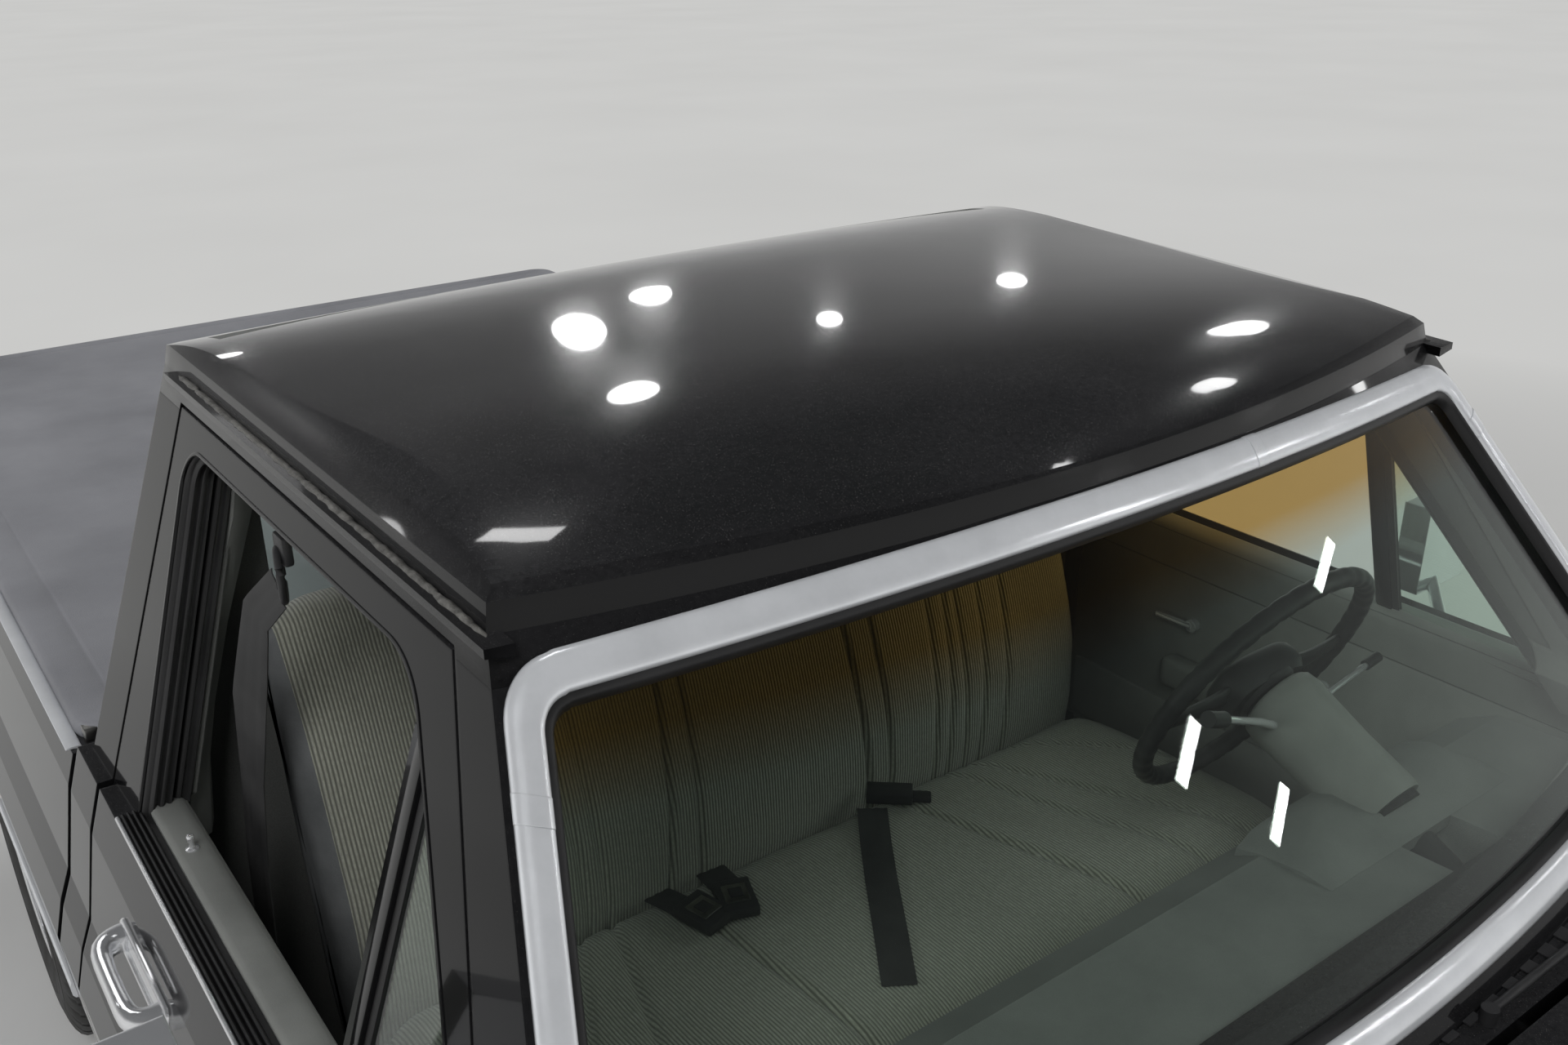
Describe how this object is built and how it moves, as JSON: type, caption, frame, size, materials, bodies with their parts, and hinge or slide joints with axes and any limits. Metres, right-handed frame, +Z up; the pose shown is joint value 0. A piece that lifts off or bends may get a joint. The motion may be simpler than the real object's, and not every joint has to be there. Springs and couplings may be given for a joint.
{
  "type": "full-size pickup truck",
  "caption": "Black regular-cab pickup truck with a bench seat, lowered side windows and a vinyl cover over its short load bed.",
  "frame": {"origin": "on the ground, under the middle of the truck's length and width", "axes": "+Z up, -Y to the front of the truck, +X to the driver's side"},
  "size_m": [2.17, 4.88, 1.743],
  "materials": {
    "body_black": "glossy clear coated black paint",
    "chrome": "bright plated steel",
    "bright_trim": "slightly dulled anodised moulding",
    "tinted_glass": "green tinted safety glass",
    "lamp_glass": "clear ribbed lens",
    "red_lens": "red moulded lens",
    "interior_plastic": "grained grey plastic",
    "interior_dark": "black plastic",
    "seat_cloth": "ribbed grey green cloth",
    "cover_vinyl": "matte dark grey vinyl over a frame",
    "frame_steel": "satin black chassis paint",
    "cast_metal": "bare cast metal with light rust",
    "exhaust_steel": "dull aluminised steel",
    "tyre": "black rubber",
    "black_rubber": "black moulded rubber"
  },
  "bodies": {
    "chassis": {"cab_roof": "body_black", "windshield_pillars": "body_black", "cab_back": "body_black", "cab_floor": "body_black", "firewall": "body_black", "windshield": "tinted_glass", "windshield_trim": "bright_trim", "rear_window": "tinted_glass", "dashboard": "interior_plastic", "steering_column": "interior_dark", "seat_base": "frame_steel", "seat_cushion": "seat_cloth", "seat_back": "seat_cloth", "radiator_support": "frame_steel", "grille": "chrome", "headlamps": "lamp_glass", "front_bumper": "chrome", "rear_bumper": "chrome", "frame": "frame_steel", "front_suspension": "frame_steel", "rear_axle": "cast_metal", "leaf_springs": "frame_steel", "engine": "cast_metal", "driveshaft": "frame_steel", "exhaust": "exhaust_steel", "fuel_tank": "frame_steel", "bed_floor": "body_black", "tail_lamps": "red_lens", "bed_cover": "cover_vinyl", "wheel_lips": "chrome", "wipers": "interior_dark", "fender_left": "body_black", "fender_right": "body_black", "bed_side_left": "body_black", "bed_side_right": "body_black"},
    "steering_wheel": {"steering_wheel": "interior_dark"},
    "hood": {"hood": "body_black"},
    "tailgate": {"tailgate": "body_black"},
    "door_left": {"door_left": "body_black", "vent_glass_left": "tinted_glass", "mirror_left": "chrome", "door_handle_left": "chrome"},
    "knuckle_left": {"knuckle_left": "cast_metal"},
    "wheel_front_left": {"tyre_front_left": "tyre", "rim_front_left": "chrome"},
    "wheel_rear_left": {"tyre_rear_left": "tyre", "rim_rear_left": "chrome"},
    "door_right": {"door_right": "body_black", "vent_glass_right": "tinted_glass", "mirror_right": "chrome", "door_handle_right": "chrome"},
    "knuckle_right": {"knuckle_right": "cast_metal"},
    "wheel_front_right": {"tyre_front_right": "tyre", "rim_front_right": "chrome"},
    "wheel_rear_right": {"tyre_rear_right": "tyre", "rim_rear_right": "chrome"}
  },
  "joints": [
    {"name": "door_left_open", "type": "hinge", "parent": "chassis", "child": "door_left", "pos_m": [0.915, -0.97, 0.85], "axis": [0, 0, -1], "range_deg": [0, 65]},
    {"name": "door_right_open", "type": "hinge", "parent": "chassis", "child": "door_right", "pos_m": [-0.915, -0.97, 0.85], "axis": [0, 0, 1], "range_deg": [0, 65]},
    {"name": "hood_open", "type": "hinge", "parent": "chassis", "child": "hood", "pos_m": [0, -1.19, 1.148], "axis": [-1, 0, 0], "range_deg": [0, 48]},
    {"name": "tailgate_open", "type": "hinge", "parent": "chassis", "child": "tailgate", "pos_m": [0, 2.325, 0.706], "axis": [-1, 0, 0], "range_deg": [0, 90]},
    {"name": "steer_left", "type": "hinge", "parent": "chassis", "child": "knuckle_left", "pos_m": [0.712, -1.645, 0.366], "axis": [0, 0, 1], "range_deg": [-30, 30]},
    {"name": "wheel_front_left_spin", "type": "hinge", "parent": "knuckle_left", "child": "wheel_front_left", "pos_m": [0.825, -1.645, 0.366], "axis": [1, 0, 0], "continuous": true},
    {"name": "wheel_rear_left_spin", "type": "hinge", "parent": "chassis", "child": "wheel_rear_left", "pos_m": [0.825, 1.325, 0.366], "axis": [1, 0, 0], "continuous": true},
    {"name": "steer_right", "type": "hinge", "parent": "chassis", "child": "knuckle_right", "pos_m": [-0.712, -1.645, 0.366], "axis": [0, 0, 1], "range_deg": [-30, 30]},
    {"name": "wheel_front_right_spin", "type": "hinge", "parent": "knuckle_right", "child": "wheel_front_right", "pos_m": [-0.825, -1.645, 0.366], "axis": [1, 0, 0], "continuous": true},
    {"name": "wheel_rear_right_spin", "type": "hinge", "parent": "chassis", "child": "wheel_rear_right", "pos_m": [-0.825, 1.325, 0.366], "axis": [1, 0, 0], "continuous": true},
    {"name": "steering_wheel_turn", "type": "hinge", "parent": "chassis", "child": "steering_wheel", "pos_m": [0.4, -0.62, 1.24], "axis": [0, 0.9063, 0.4226], "range_deg": [-480, 480]}
  ],
  "couplings": [
    {"joint": "steer_right", "follows": "steer_left", "ratio": 1},
    {"joint": "steering_wheel_turn", "follows": "steer_left", "ratio": 16}
  ]
}
